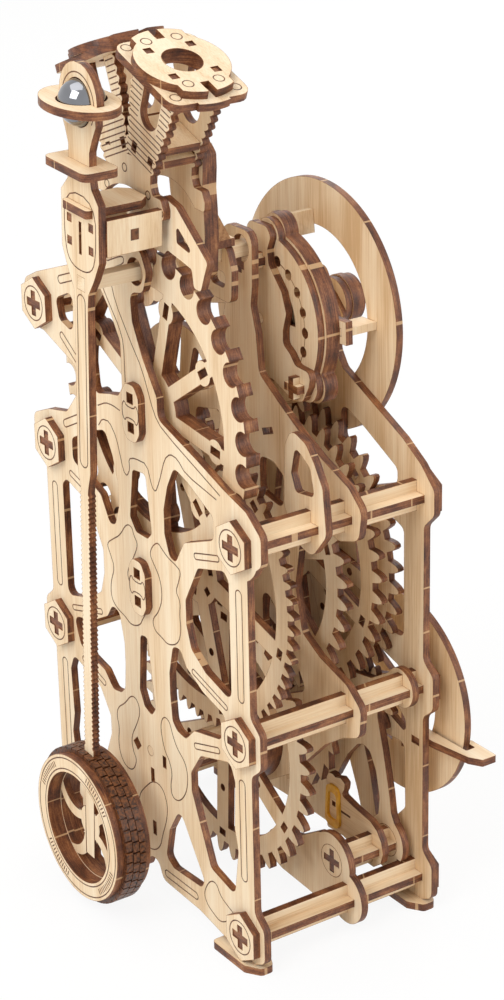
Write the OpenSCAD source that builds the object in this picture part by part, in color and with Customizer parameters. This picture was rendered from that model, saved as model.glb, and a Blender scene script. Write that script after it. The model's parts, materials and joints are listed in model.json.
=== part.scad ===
// Wooden clock model with a swinging car wheel and a V engine on its head.
// The clock stands on its feet. The dials face -Y, and +X is the left side seen from behind.
// The origin is on the ground, under the train axles. Depth is measured from the rear plate's outer face.

/* [Frame] */
// Thickness of every plywood sheet
ply = 3; // [2.9:0.05:3.05]
// Distance from the origin to the outer face of the rear plate
rear_face_y = 41; // [38:1:45]
// Depth of the middle plate
middle_depth = 46; // [46:0.1:46.3]
// Depth of the front plate
front_depth = 79; // [79:0.1:79.3]
// Distance of the tie bar columns from the middle
bar_x = 64; // [63.5:0.1:64.5]
// Heights of the tie bars
bar_z = [13, 95, 173]; // [13:1:175]
// Place of the top tie bar at the upper left
top_bar = [68.3, 229.2]; // [60:0.1:230]

/* [Train] */
// Distance between neighbouring train axles
axle_step = 70.5; // [70.4:0.1:70.6]
// Height of the great wheel axle
great_z = 63.7; // [63:0.1:64]
// Teeth of the great wheel and of the wheel that drives the seconds dial
great_teeth = 40; // [40:1:40]
// Leaves of the pinion that the great wheel drives
second_leaves = 10; // [10:1:10]
// Teeth of the wheel that drives the escape pinion
second_teeth = 64; // [64:1:64]
// Leaves of the escape pinion and of the seconds pinion
escape_leaves = 8; // [8:1:8]
// Teeth of the minute wheel and leaves of its pinion
minute_teeth = [36, 12]; // [12:1:36]
// Pockets of the escape wheel
pockets = 30; // [30:1:30]
// Teeth of the dial wheel and leaves of its pinion
dial_teeth = [24, 6]; // [6:1:24]
// Radius of the wooden arbors
arbor_r = 2; // [1.9:0.05:2]
// Running clearance of an arbor in its hole
run_gap = 0.06; // [0.03:0.01:0.08]

/* [Dials] */
// Outer and inner radius of the upper dial ring
upper_dial = [49, 31.4]; // [30:0.1:50]
// Outer and inner radius of the seconds dial
seconds_dial_r = [42.1, 24]; // [20:0.1:43]

/* [Pendulum] */
// Height of the pendulum pivot
pivot_z = 259; // [258.5:0.1:259.5]
// Distance of the pendulum pivot from the middle
pivot_x = -2.2; // [-2.5:0.1:-2]
// Angle of the pendulum at rest, with the car wheel towards +X
swing = 3.27; // [0:0.01:3.5]
// Width of the pendulum rod above and below its shoulder
rod_w = [8.9, 5.8]; // [5.5:0.1:9]
// Distance from the pivot down to the centre of the car wheel
bob_drop = 225; // [224:0.5:226]
// Outer radius of the car wheel's side rings and radius of their hole
bob_r = [29.8, 22.6]; // [22:0.1:30]

/* [Hidden] */
$fn = 48;
wood = "burlywood";
fix_gap = 0.03;
bar_arm = 12.2;
end_arm = 9.8;
end_recess = 0.3;
washer_af = 18;
lobe_r = 11;
second_z = great_z + axle_step;
escape_z = second_z + axle_step;
dial_z = escape_z + 24.5;
great_m = 2 * axle_step / (great_teeth + second_leaves);
second_m = 2 * axle_step / (second_teeth + escape_leaves);
minute_m = 2 * axle_step / (minute_teeth[0] + minute_teeth[1]);
dial_m = 2 * (dial_z - escape_z) / (dial_teeth[0] + dial_teeth[1]);
seconds_gap = great_m * (great_teeth + escape_leaves) / 2;
seconds_dir = 232;
seconds_at = [seconds_gap * cos(seconds_dir), second_z + seconds_gap * sin(seconds_dir)];
rear_washer_depth = -ply;
front_washer_depth = front_depth + ply;
pocket_depth = 6.5;
pocket_root = 55;
pocket_tip = 61.5;
pocket_hole_r = 4.5;
pocket_phase = 104.2;
upper_dial_depth = 82.3;
seconds_dial_depth = 88.3;
drum_depth = 55.5;
drum_r = 33;
bead_r = 24.65;
beads = 20;
rod_depth = -22.5;
truss_depth = 6.3;
engine_depth = 3.3;
inner_front_depth = 72.6;
pointer_z = 69.7;
pawl_depth = 64.4;
cross_bar = [-55.5, 25];
bushing_r = 6.6;

// Rounding of outlines: each corner becomes a short arc
function unit(v) = v / norm(v);
function slide_in(a, b, c, r) = min(r / tan(corner(a, b, c) / 2), 0.45 * norm(a - b), 0.45 * norm(c - b));
function corner(a, b, c) = acos(max(-1, min(1, unit(a - b) * unit(c - b))));
function arc_points(b, p, q, turn, steps) = [for (i = [0:steps])
    b + (sin((1 - i / steps) * turn) * p + sin(i / steps * turn) * q) / sin(turn)];
function rounded_corner(a, b, c, r, steps) =
    let (t = slide_in(a, b, c, r), half = corner(a, b, c) / 2)
    half > 86 ? [b] :
    let (mid = b + unit(unit(a - b) + unit(c - b)) * t / cos(half))
    arc_points(mid, b + unit(a - b) * t - mid, b + unit(c - b) * t - mid, 180 - 2 * half, steps);
function rounded(points, r = 3, steps = 4) = [for (i = [0:len(points) - 1])
    each rounded_corner(points[(i + len(points) - 1) % len(points)], points[i],
        points[(i + 1) % len(points)], r, steps)];
function mirrored(points) = [for (p = points) [-p[0], p[1]]];
function symmetric(points) = concat(points,
    [for (i = [len(points) - 1:-1:0]) [-points[i][0], points[i][1]]]);
function polar(r, a) = [r * cos(a), r * sin(a)];

// A board lies upright across the clock, from a depth away from the rear towards the dials
module board(depth, t = ply) {
    translate([0, rear_face_y - depth, 0]) rotate([90, 0, 0]) linear_extrude(t) children();
}
module at(place) {
    translate([place[0], place[1]]) children();
}
module rod_y(place, r, from, to) {
    translate([place[0], rear_face_y - from, place[1]]) rotate([90, 0, 0]) cylinder(r = r, h = to - from);
}
// A floor board lies level, given by its lowest face and its outline in X and depth
module level_board(z, t = ply) {
    translate([0, rear_face_y, z]) mirror([0, 1, 0]) linear_extrude(t) children();
}
module plus(arm = bar_arm, gap = 0) {
    square([arm + 2 * gap, ply + 2 * gap], center = true);
    square([ply + 2 * gap, arm + 2 * gap], center = true);
}
module window(points, r = 3) {
    polygon(rounded(points, r));
}
module slot_hole(place, w, h) {
    at(place) square([w, h], center = true);
}

// Gears: teeth with curved flanks and narrow tops, first tooth at the phase angle
function tooth(root, tip, pitch_a, a) = let (low = root * 0.62 + tip * 0.38, high = root * 0.25 + tip * 0.75)
    [polar(root, a - 0.31 * pitch_a), polar(low, a - 0.245 * pitch_a), polar(high, a - 0.165 * pitch_a),
    polar(tip, a - 0.06 * pitch_a), polar(tip, a + 0.06 * pitch_a), polar(high, a + 0.165 * pitch_a),
    polar(low, a + 0.245 * pitch_a), polar(root, a + 0.31 * pitch_a)];
function gear_points(teeth, m, phase) = [for (i = [0:teeth - 1])
    each tooth(m * teeth / 2 - 1.27 * m, m * teeth / 2 + 0.8 * m, 360 / teeth, phase + i * 360 / teeth)];
module spoke_gaps(outer, inner, spokes, spoke_w, turn) {
    difference() {
        circle(r = outer, $fn = 96);
        circle(r = inner);
        for (i = [0:spokes - 1]) rotate(turn + i * 360 / spokes) translate([outer / 2, 0]) {
            square([outer + 2, spoke_w], center = true);
        }
    }
}
module wheel(teeth, m, phase, bore, spokes, turn) {
    rim = m * teeth / 2 - 1.27 * m - 7.5;
    difference() {
        polygon(gear_points(teeth, m, phase));
        spoke_gaps(rim, 14, spokes, 8, turn);
        for (i = [0:spokes - 1]) {
            rotate(turn + i * 360 / spokes) at([rim * 0.62, 0]) circle(r = 1.5);
            rotate(turn + i * 360 / spokes) at([rim + 3.6, 0]) square([3, 4.2], center = true);
            rotate(turn + (i + 0.5) * 360 / spokes) at([9.5, 0]) square([3, 3], center = true);
        }
        circle(r = bore);
    }
}
module pinion(teeth, m, phase, bore) {
    difference() {
        polygon(gear_points(teeth, m, phase));
        circle(r = bore);
    }
}

// Frame plates
module below_feet() {
    translate([-80, -1]) square([160, ply + 1]);
}
rear_outline = concat(
    [[6, 268], [-6, 268], [-10, 260], [-7, 252], [2, 250], [1, 239], [-5, 227], [-14, 214], [-14, 206],
    [-39, 198], [-56, 192], [-70, 188], [-79, 181], [-79, 170], [-70, 163], [-70, 107], [-76, 102],
    [-76, 88], [-70, 83], [-70, 25], [-76, 20], [-76, 6], [-68, 2], [-51, 4.5], [-32, 8], [-6, 9], [-3, 16]],
    [[3, 16], [6, 9], [32, 8], [51, 4.5], [68, 2], [76, 6], [76, 20], [70, 25], [70, 83], [76, 88],
    [76, 102], [70, 107], [70, 163], [78, 168], [78, 181], [66, 186], [52, 189], [44, 198], [43, 210],
    [66, 218], [78, 222], [80, 236], [70, 241], [45, 250], [15, 259]]);
upper_window = [[-24, 190], [-19, 181], [-16, 171], [-16, 161], [-19, 153], [-23, 152], [-29, 162],
    [-49, 170], [-49, 179], [-33, 187]];
side_window = [[-38, 155], [-55, 160], [-58, 157], [-58, 109], [-41, 114], [-32, 120], [-29, 129],
    [-29, 139]];
fan_window = [[-19, 116], [-16, 104], [-16, 95], [-17, 84], [-20, 81], [-26, 80], [-32, 86], [-50, 90],
    [-54, 101], [-39, 105], [-28, 111], [-24, 117]];
lower_window = [[-36, 77], [-29, 67], [-29, 59], [-41, 31], [-57, 27], [-60, 47], [-58, 56], [-59, 76],
    [-56, 83]];
foot_window = [[-20, 47], [-12, 34], [-9, 21], [-14, 18], [-34, 19], [-36, 23]];
left_top_window = [[56, 234], [43, 240], [44, 223], [54, 226]];
arm_window = [[25, 249], [17, 240], [10, 229], [10, 211], [13, 207], [19, 206], [30, 203], [34, 240]];
waist_window = [[5, 180], [-4, 181], [-7, 158], [-4, 155], [4, 155], [8, 160]];
heart_window = [[4, 112], [-1, 113], [-5, 84], [-2, 80], [3, 82], [6, 88]];
module rear_plate() {
    color(wood) board(0) difference() {
        union() {
            polygon(rounded(rear_outline, 4));
            at([bar_x, bar_z[2]]) circle(r = lobe_r + 1);
            at([-bar_x, bar_z[2]]) circle(r = lobe_r + 2);
            at(top_bar) circle(r = lobe_r);
            for (x = [-bar_x, bar_x], z = [bar_z[0], bar_z[1]]) at([x, z]) circle(r = lobe_r);
        }
        for (x = [-bar_x, bar_x], z = bar_z) at([x, z]) plus(gap = fix_gap);
        at(top_bar) plus(gap = fix_gap);
        below_feet();
        for (w = [upper_window, side_window, fan_window, lower_window, foot_window]) {
            window(w);
            window(mirrored(w));
        }
        window(left_top_window);
        window(arm_window);
        window(waist_window, 2);
        window(heart_window, 2);
        slot_hole([-10, 63], 2.4, 5);
        slot_hole([-1, 53.5], 2.4, 6);
        slot_hole([-1, 30], 2.4, 6);
        at([9.5, 63]) rotate(45) square([4, 4], center = true);
        for (z = [great_z, second_z, escape_z]) at([0, z]) circle(r = arbor_r + run_gap);
        at([pivot_x, pivot_z]) circle(r = 5.2);
    }
}
small_outline = [[-54, 207], [-63, 204], [-68, 198], [-73, 190], [-75, 172], [-66, 161], [-56, 164],
    [-49, 176], [-50, 200]];
module small_rear_plate() {
    color(wood) board(31) difference() {
        polygon(rounded(small_outline, 5));
        window([[-56.5, 201], [-65.5, 195.5], [-68, 185], [-56.5, 183.5], [-53.8, 190]], 2);
        at([-bar_x, bar_z[2]]) plus(gap = fix_gap);
    }
}
middle_outline = symmetric([[-9.6, 266.5], [-9.2, 246], [-8, 238], [-11, 228], [-12.5, 213], [-25, 205],
    [-37, 198], [-52, 191], [-68, 185], [-76, 178], [-74, 166], [-62, 162], [-46, 166], [-38, 156], [-34, 134],
    [-38, 116], [-49, 110], [-66, 105], [-75, 98], [-74, 86], [-64, 82], [-52, 74], [-30, 52], [-14, 42]]);
module middle_plate() {
    color(wood) board(middle_depth) difference() {
        union() {
            polygon(rounded(middle_outline, 5));
            at(top_bar) circle(r = lobe_r);
            window([[60, 222], [72, 236], [10, 252], [4, 236]], 4);
        }
        for (x = [-bar_x, bar_x], z = [bar_z[1], bar_z[2]]) at([x, z]) plus(gap = fix_gap);
        at(top_bar) plus(gap = fix_gap);
        for (k = [-1, 1]) {
            window([[k * 12, 180], [k * 21, 180.2], [k * 27.5, 176.5], [k * 27, 163], [k * 12, 165.5]]);
            at([k * 17.5, 191.5]) rotate(k * 20) square([7, 2.5], center = true);
            window([[k * 12, 128], [k * 28, 112], [k * 40, 92], [k * 12, 78]]);
        }
        for (z = [great_z, second_z, escape_z]) at([0, z]) circle(r = arbor_r + run_gap);
        at(seconds_at) circle(r = arbor_r + run_gap);
        at([pivot_x, pivot_z]) circle(r = 5.2);
        at(drum_posts_at[0]) plus(drum_posts_at[0][2], fix_gap);
    }
}
lower_outline = [[-47, 34], [-34, 26], [-14, 20], [-10, 9], [-22, 5.5], [-40, 4.5], [-58, 2.5], [-70, 16],
    [-66, 26], [-56, 36]];
module lower_middle_plate() {
    color(wood) board(middle_depth) difference() {
        union() {
            polygon(rounded(lower_outline, 4));
            at(cross_bar) circle(r = lobe_r + 0.7);
            at([-bar_x, bar_z[0]]) circle(r = lobe_r);
        }
        at([-bar_x, bar_z[0]]) plus(gap = fix_gap);
        at(cross_bar) circle(r = bushing_r + run_gap);
    }
}
// This plate stands just behind the front plate and carries the pawl's bar
inner_front_outline = [[-62, 32], [-58.6, 38], [-57.4, 45.8], [-53.5, 63.4], [-49.6, 77.7], [-52, 84],
    [-60, 88], [-62, 102], [-46, 92], [-34, 90], [-22, 82], [-6, 76], [8, 70], [8, 56], [0, 50],
    [-4, 44], [-14, 36], [-22, 38], [-30.4, 52.1], [-36.9, 59.3], [-41, 61], [-44.9, 59.7],
    [-48.8, 52.8], [-51.1, 41.9], [-50.3, 35], [-49.5, 28]];
module inner_front_plate() {
    color(wood) board(inner_front_depth) difference() {
        union() {
            polygon(rounded(inner_front_outline, 4));
            at(cross_bar) circle(r = lobe_r - 0.4);
            at([-bar_x, bar_z[1]]) circle(r = 8);
        }
        at([-bar_x, bar_z[1]]) plus(gap = fix_gap);
        at([-bar_x, bar_z[0]]) plus(gap = 0.35);
        at(cross_bar) circle(r = bushing_r + run_gap);
        at([0, great_z]) circle(r = arbor_r + run_gap);
        at(seconds_at) circle(r = arbor_r + run_gap);
    }
}
front_outline = symmetric([[-6, 246], [-10, 240], [-16, 227], [-16, 216], [-20, 210], [-57, 193],
    [-68, 186], [-76, 178], [-76, 168], [-70, 162], [-70, 107], [-76, 102], [-76, 88], [-70, 83], [-70, 25],
    [-76, 20], [-76, 6], [-68, 2], [-51, 4.5], [-32, 8], [-6, 9]]);
front_windows = [[[-19, 196], [-19, 182], [-36, 167], [-54, 174], [-54, 180], [-34, 190]],
    [[-22, 160], [-46, 161], [-58, 157], [-58, 112], [-40, 112], [-30, 122], [-27, 146]],
    [[-22, 100], [-40, 103], [-55, 99], [-56, 96], [-46, 92], [-26, 86]],
    [[-48.5, 76], [-59.4, 71.8], [-59.4, 77.5], [-54.5, 81.5], [-49.5, 80.5]],
    [[-31, 60], [-46.5, 66.5], [-58.6, 67.2], [-59.2, 39], [-54.5, 34], [-43, 24], [-40.2, 27],
        [-36.3, 45.2]],
    [[-20, 52], [-12, 48], [-10, 20], [-33, 18.5], [-28, 33], [-23.3, 43.9]]];
module front_plate() {
    color(wood) board(front_depth) difference() {
        union() {
            polygon(rounded(front_outline, 4));
            for (x = [-bar_x, bar_x], z = bar_z) at([x, z]) circle(r = lobe_r + 0.5);
        }
        for (x = [-bar_x, bar_x], z = bar_z) at([x, z]) plus(gap = fix_gap);
        below_feet();
        for (w = front_windows) {
            window(w);
            window(mirrored(w));
        }
        at([0, dial_z]) circle(r = arbor_r + run_gap);
        for (z = [great_z, second_z]) at([0, z]) circle(r = arbor_r + run_gap);
        at([0, escape_z]) circle(r = 1.5 + fix_gap);
        at(seconds_at) circle(r = arbor_r + run_gap);
        slot_hole([-65.4, pointer_z + ply / 2 - 0.05], 4.7, ply);
    }
}
module tie_bar(place, from, to) {
    board(from, to - from) at(place) plus();
}
// The ends of a tie bar are narrower where they run through the washers
module long_tie_bar(place) {
    tie_bar(place, 0, front_washer_depth);
    board(rear_washer_depth + end_recess, ply - end_recess) at(place) plus(end_arm);
    board(front_washer_depth, ply - end_recess) at(place) plus(end_arm);
}
module right_tie_bars() {
    color(wood) for (z = bar_z) long_tie_bar([-bar_x, z]);
}
module left_tie_bars() {
    color(wood) {
        for (z = bar_z) long_tie_bar([bar_x, z]);
        tie_bar(top_bar, 0, middle_depth + ply + 2);
        board(rear_washer_depth + end_recess, ply - end_recess) at(top_bar) plus(end_arm);
    }
}
// The cross bar turns with the pawl in round bushings
module lower_cross_bar() {
    color(wood) {
        tie_bar(cross_bar, middle_depth + ply, inner_front_depth);
        for (d = [middle_depth, inner_front_depth]) board(d) at(cross_bar) difference() {
            circle(r = bushing_r);
            plus(end_arm, fix_gap);
        }
        board(middle_depth + end_recess, ply - end_recess) at(cross_bar) plus(end_arm);
        board(inner_front_depth, ply - end_recess) at(cross_bar) plus(end_arm);
    }
}
module hex_washer(depth, place) {
    board(depth) at(place) difference() {
        rotate(30) circle(r = washer_af / sqrt(3), $fn = 6);
        plus(end_arm, fix_gap);
        translate([-washer_af, -place[1]]) square([2 * washer_af, ply + 0.05]);
    }
}
module rear_washers() {
    color("peru") {
        for (x = [-bar_x, bar_x], z = bar_z) hex_washer(rear_washer_depth, [x, z]);
        hex_washer(rear_washer_depth, top_bar);
    }
}
module front_washers() {
    color("peru") for (x = [-bar_x, bar_x], z = bar_z) hex_washer(front_washer_depth, [x, z]);
}
foot_outline = [[-46, 0], [-68, 0], [-74, 4], [-74, 9], [-68, 12], [-46, 12]];
module upright_slab(depth) {
    board(depth - 0.1, ply + 0.2) translate([-80, 0]) square([160, 9]);
}
module feet() {
    color(wood) for (k = [-1, 1], d = [-4, 73]) {
        level_board(0) translate([0, d]) polygon(rounded([for (p = foot_outline) [k * p[0], p[1]]], 2));
        difference() {
            level_board(ply, 3.5) translate([k * 60, d + 2.4]) square([14, 8], center = false);
            upright_slab(d < 0 ? 0 : front_depth);
            upright_slab(d < 0 ? rear_washer_depth : front_washer_depth);
        }
    }
}
cover_outline = [[-5.7, -7], [-5.7, 7], [-3, 11.2], [3, 11.2], [5.7, 7], [5.7, -7], [3, -11.2],
    [-3, -11.2]];
module bearing_covers() {
    color("peru") for (z = [second_z, escape_z]) {
        board(-ply) at([0, z]) difference() {
            polygon(rounded(cover_outline, 3));
            for (k = [-5.75, 5.75]) slot_hole([0, k], 4.2, 4);
        }
    }
}

// Drum behind the upper dial
// Each post has its place, its arm and the depth where it starts
drum_posts_at = [[-1, 252.5, 6, middle_depth], [-23.8, 208.8, 8.5, 52.4], [23.8, 208.8, 8.5, 52.4]];
bracket_half = [[-5.3, 266.2], [-8.1, 262.8], [-5.6, 257.3], [-6.4, 251.6], [-14.4, 243.1], [-17.2, 235.4],
    [-15, 228.5], [-14.8, 223], [-19, 220.5], [-22.6, 216.6], [-30.5, 216.3], [-31.8, 213.8],
    [-30.8, 210.1], [-27, 203.5], [-20.9, 202], [-8, 207]];
lobe_places = [[-2, 261], [-28, 207], [28, 207]];
module lobed(r) {
    circle(r = r, $fn = 96);
    for (p = lobe_places) {
        rotate(atan2(p[1] - dial_z, p[0])) translate([r - 1, 0]) circle(r = 7);
    }
}
module drum_bracket() {
    color(wood) board(drum_depth) difference() {
        polygon(rounded(symmetric(bracket_half), 3));
        at([0, dial_z]) circle(r = arbor_r + run_gap);
        for (p = drum_posts_at) at(p) plus(p[2], fix_gap);
    }
}
module beads_2d() {
    for (i = [0:beads - 1]) rotate(i * 360 / beads) at([bead_r, 0]) circle(r = 2, $fn = 24);
}
module drum_outer_ring() {
    color(wood) board(drum_depth + ply) at([0, dial_z]) difference() {
        lobed(drum_r);
        circle(r = bead_r + 0.2, $fn = 96);
        beads_2d();
    }
}
module drum_rotor() {
    color(wood) board(drum_depth + ply + 0.2, ply - 0.4) at([0, dial_z]) difference() {
        circle(r = bead_r - 0.2, $fn = 96);
        beads_2d();
        for (i = [0:2]) rotate(i * 120 + 20) polygon(arc_slot(13, 18.5, 75));
        circle(r = arbor_r + fix_gap);
    }
}
function arc_slot(inner, outer, span) = concat([for (i = [0:12]) polar(outer, span * (i / 12 - 0.5))],
    [for (i = [12:-1:0]) polar(inner, span * (i / 12 - 0.5))]);
module drum_stack() {
    color("peru") board(drum_depth + 2 * ply, 2 * ply) at([0, dial_z]) difference() {
        lobed(drum_r + 1.2);
        circle(r = arbor_r + run_gap);
        at([0, escape_z - dial_z]) circle(r = 1.5 + fix_gap);
    }
}
module drum_posts() {
    color(wood) for (p = drum_posts_at) tie_bar_piece(p);
}
module tie_bar_piece(p) {
    board(p[3], drum_depth + ply - p[3]) at(p) plus(p[2]);
}

// Upper dial
module upper_dial_ring() {
    color(wood) board(upper_dial_depth) at([0, dial_z]) difference() {
        circle(r = upper_dial[0], $fn = 160);
        circle(r = upper_dial[1], $fn = 120);
        for (a = dial_bracket_angles) rotate(a) slot_hole([upper_dial[1] + 2.2, 0], ply, ply);
    }
}
dial_bracket_angles = [84, 2, 178];
holder_depth = 67.5;
holder_arc = [23, 30];
tenon = 2.94;
// The holder is an open ring with a lobe at each block that carries the dial
module holder_ring() {
    difference() {
        union() {
            circle(r = holder_arc[1], $fn = 96);
            for (a = dial_bracket_angles) {
                rotate(a) translate([holder_arc[1] + 2, 0]) square([12, 9], center = true);
            }
        }
        circle(r = holder_arc[0], $fn = 96);
        polygon([[0, 0], polar(60, 200), [0, -80], polar(60, -20)]);
        for (a = dial_bracket_angles) rotate(a) slot_hole([upper_dial[1] + 2.2, 0], ply, ply);
    }
}
module dial_block(tip) {
    block_h = upper_dial_depth - holder_depth - ply;
    translate([28, rear_face_y - upper_dial_depth, -ply / 2]) cube([9, block_h, ply]);
    translate([tip - tenon / 2, rear_face_y - upper_dial_depth - ply + 0.1, -tenon / 2]) {
        cube([tenon, block_h + 2 * ply - 0.2, tenon]);
    }
}
module dial_brackets() {
    color(wood) {
        board(holder_depth) at([0, dial_z]) holder_ring();
        for (a = dial_bracket_angles) {
            translate([0, 0, dial_z]) rotate([0, -a, 0]) dial_block(upper_dial[1] + 2.2);
        }
    }
}
module dial_arbor() {
    color("tan") rod_y([0, dial_z], arbor_r, drum_depth - 2, 98.6);
}
module dial_wheel() {
    color(wood) board(71.3, 2.6) at([0, dial_z])
        pinion(dial_teeth[0], dial_m, 270 + 180 / dial_teeth[0], arbor_r + fix_gap);
}
hand_outline = symmetric([[-4, -10], [-5, 0], [-3, 14], [-4.5, 26], [-0.6, 44]]);
module dial_hand() {
    color("peru") board(87, 2) at([0, dial_z]) difference() {
        rotate(-52) polygon(rounded(hand_outline, 1.2));
        circle(r = arbor_r + fix_gap);
    }
}
module hand_knob() {
    color("peru") for (k = [[89, 9.2], [92, 9.7], [95, 9.2]]) board(k[0]) at([0, dial_z]) difference() {
        circle(r = k[1]);
        circle(r = arbor_r + fix_gap);
    }
}
module idler_pin() {
    color("tan") rod_y([0, escape_z], 1.5, drum_depth + 2 * ply + 1, front_depth + ply);
}
module idler_pinions() {
    color(wood) {
        board(68.2, 2.8) at([0, escape_z]) pinion(second_leaves, great_m, 270, 1.5 + run_gap);
        board(71, 3) at([0, escape_z]) pinion(dial_teeth[1], dial_m, 90, 1.5 + run_gap);
    }
}

// Escapement end of the train
module pocket_layer() {
    difference() {
        circle(r = pocket_tip, $fn = 160);
        for (i = [0:pockets - 1]) rotate(pocket_phase + i * 360 / pockets) {
            translate([pocket_root + pocket_hole_r, 0]) circle(r = pocket_hole_r, $fn = 32);
        }
        difference() {
            spoke_gaps(47.5, 16.5, 9, 6, pocket_spoke_turn);
            for (i = [0:8]) rotate(pocket_spoke_turn + i * 40) at([42, 0]) circle(r = 4.8);
        }
        for (i = [0:8]) rotate(pocket_spoke_turn + i * 40) at([42, 0]) square([6, ply], center = true);
        circle(r = arbor_r + fix_gap);
    }
}
pocket_spoke_turn = 146.3;
module pocket_wheel() {
    color(wood) board(pocket_depth) at([0, escape_z]) pocket_layer();
}
module pocket_wheel_backing() {
    color(wood) board(pocket_depth + ply) at([0, escape_z]) pocket_layer();
}
module escape_rear_disc() {
    color(wood) board(19.5) at([0, escape_z]) difference() {
        circle(r = 30, $fn = 120);
        for (i = [0:5]) rotate(12 + i * 60) window([[10, -2.5], [25, -9.5], [25, 9.5], [10, 2.5]], 2);
        circle(r = arbor_r + fix_gap);
    }
}
module escape_pinion() {
    color(wood) board(23.6, 4) at([0, escape_z]) pinion(escape_leaves, second_m, 270, arbor_r + fix_gap);
}
module escape_arbor() {
    color("tan") rod_y([0, escape_z], arbor_r, 0.1, middle_depth + ply);
}

// Second axle
module second_arbor() {
    color("tan") rod_y([0, second_z], arbor_r, 0.1, front_depth + ply);
}
module second_wheel() {
    color(wood) board(24) at([0, second_z])
        wheel(second_teeth, second_m, 90 + 180 / second_teeth, arbor_r + fix_gap, 6, 15);
}
module second_pinion() {
    color(wood) board(33.8, 3.6) at([0, second_z]) pinion(second_leaves, great_m, 270, arbor_r + fix_gap);
}
module seconds_drive_wheel() {
    color(wood) board(76, 2.7) at([0, second_z])
        wheel(great_teeth, great_m, seconds_dir + 180 / great_teeth, arbor_r + fix_gap, 6, 10);
}
module minute_wheel() {
    color(wood) board(54.6) at([0, second_z])
        wheel(minute_teeth[0], minute_m, 270 + 180 / minute_teeth[0], arbor_r + run_gap, 6, 40);
}
module transfer_wheel() {
    color(wood) {
        board(68.2, 2.8) at([0, second_z])
            wheel(great_teeth, great_m, 90 + 180 / great_teeth, arbor_r + run_gap, 6, 20);
        board(54.6 + ply, 68.2 - 54.6 - ply) at([0, second_z]) difference() {
            circle(r = 5);
            circle(r = arbor_r + run_gap);
        }
    }
}

// Great wheel axle
module great_arbor() {
    color("tan") rod_y([0, great_z], arbor_r, 0.1, front_depth + ply);
}
module great_wheel() {
    color(wood) board(34) at([0, great_z])
        wheel(great_teeth, great_m, 90 + 180 / great_teeth, arbor_r + fix_gap, 6, 33);
}
module minute_pinion() {
    color(wood) board(54.3, 3.6) at([0, great_z]) pinion(minute_teeth[1], minute_m, 90, arbor_r + fix_gap);
}
ratchet_r = 33.5;
ratchet_teeth = 24;
module ratchet_wheel() {
    pitch_a = 360 / ratchet_teeth;
    color(wood) board(pawl_depth) at([0, great_z]) difference() {
        polygon([for (i = [0:ratchet_teeth - 1]) each
            [polar(ratchet_r, i * pitch_a), polar(ratchet_r - 3.6, i * pitch_a + 1)]]);
        spoke_gaps(24, 9, 4, 7, 45);
        circle(r = arbor_r + fix_gap);
    }
}
module spring_barrel() {
    color(wood) {
        board(middle_depth - 1.6, 1.6) at([0, great_z]) difference() {
            circle(r = 24);
            circle(r = arbor_r + run_gap);
        }
        board(middle_depth - 7.6, 6) at([0, great_z]) difference() {
            circle(r = 24);
            circle(r = 21.6);
        }
    }
}
spring_turns = 4;
function spiral(offset) = [for (i = [0:spring_turns * 24])
    polar(5 + offset + i * 15 / (spring_turns * 24), i * 15)];
module mainspring() {
    inner_line = spiral(0);
    outer_line = spiral(0.9);
    color("slategray") board(middle_depth - 7.2, 5.4) at([0, great_z])
        polygon(concat(outer_line, [for (i = [len(inner_line) - 1:-1:0]) inner_line[i]]));
}
pawl_outline = [[-60, 34], [-56, 36.2], [-46, 37.6], [-37.3, 39.5], [-38.9, 42.4], [-39.5, 45.4],
    [-36.6, 46.8], [-33.2, 45.6], [-31.7, 46.3], [-28.7, 46], [-27.2, 43.2], [-28, 38], [-27.4, 21],
    [-38, 21.5], [-48, 19.5], [-52, 17], [-58, 16.8], [-62.6, 20.4], [-64, 25], [-63, 30]];
module pawl() {
    color("peru") board(pawl_depth) difference() {
        polygon(rounded(pawl_outline, 1));
        at(cross_bar) plus(gap = fix_gap);
        slot_hole([-32, 33.2], 2, 2);
        slot_hole([-39.6, 32], 6.5, 0.8);
    }
}
band_outline = [[-37.2, 23.6], [-27.4, 23.6], [-28.6, 42], [-36.6, 42]];
module rubber_band() {
    color("gold") board(pawl_depth - 1.3, 1.2) difference() {
        polygon(rounded(band_outline, 3));
        polygon(rounded([for (p = band_outline) p * 0.66 + [-10.94, 11.2]], 2));
    }
}

// Seconds dial
module seconds_arbor() {
    color("tan") rod_y(seconds_at, arbor_r, middle_depth, seconds_dial_depth + ply);
}
module seconds_pinion() {
    color(wood) board(76, 2.7) at(seconds_at)
        pinion(escape_leaves, great_m, seconds_dir + 180, arbor_r + fix_gap);
}
module seconds_dial() {
    color(wood) board(seconds_dial_depth) at(seconds_at) difference() {
        circle(r = seconds_dial_r[0], $fn = 160);
        spoke_gaps(seconds_dial_r[1], 8, 3, 6, 30);
        circle(r = arbor_r + fix_gap);
    }
}
pointer_outline = [[-63.1, 79.5], [-67.7, 79.5], [-67.7, 82.05], [-72, 82.05], [-90, 85], [-95, 88],
    [-95, 94.6], [-80, 94.6], [-80, 92], [-85.5, 92], [-85.5, 87.8], [-60, 87.2], [-60, 82.05],
    [-63.1, 82.05]];
module pointer_arm() {
    color(wood) level_board(pointer_z, ply - 0.1) polygon(rounded(pointer_outline, 0.6));
}

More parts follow.
